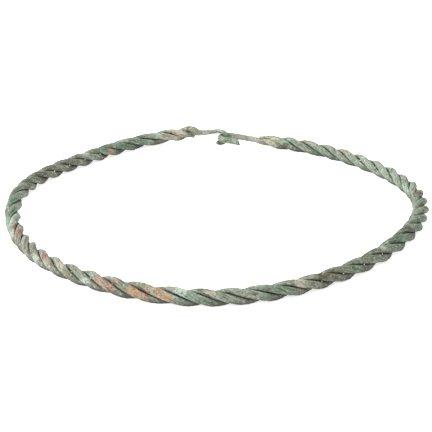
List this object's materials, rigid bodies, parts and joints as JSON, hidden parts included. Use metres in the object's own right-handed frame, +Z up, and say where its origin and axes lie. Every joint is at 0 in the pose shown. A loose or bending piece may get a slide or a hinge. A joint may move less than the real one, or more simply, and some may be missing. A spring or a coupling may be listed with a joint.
{
  "type": "bronze torc",
  "caption": "Ancient neck ring of bronze wires twisted into a rope, closed at the back by a hook passed through a loop.",
  "frame": {"origin": "on the ground, under the middle of the ring's bounding box", "axes": "+Z up out of the lying ring, +X across it along its longest width, +Y towards the clasp"},
  "size_m": [0.1946, 0.1928, 0.0092],
  "materials": {
    "bronze": "corroded bronze under a matt grey-green patina, brown and salmon where it is bare"
  },
  "bodies": {
    "root": {"core_wire": "bronze", "wrapped_wire": "bronze", "tucked_wire": "bronze"}
  },
  "joints": []
}
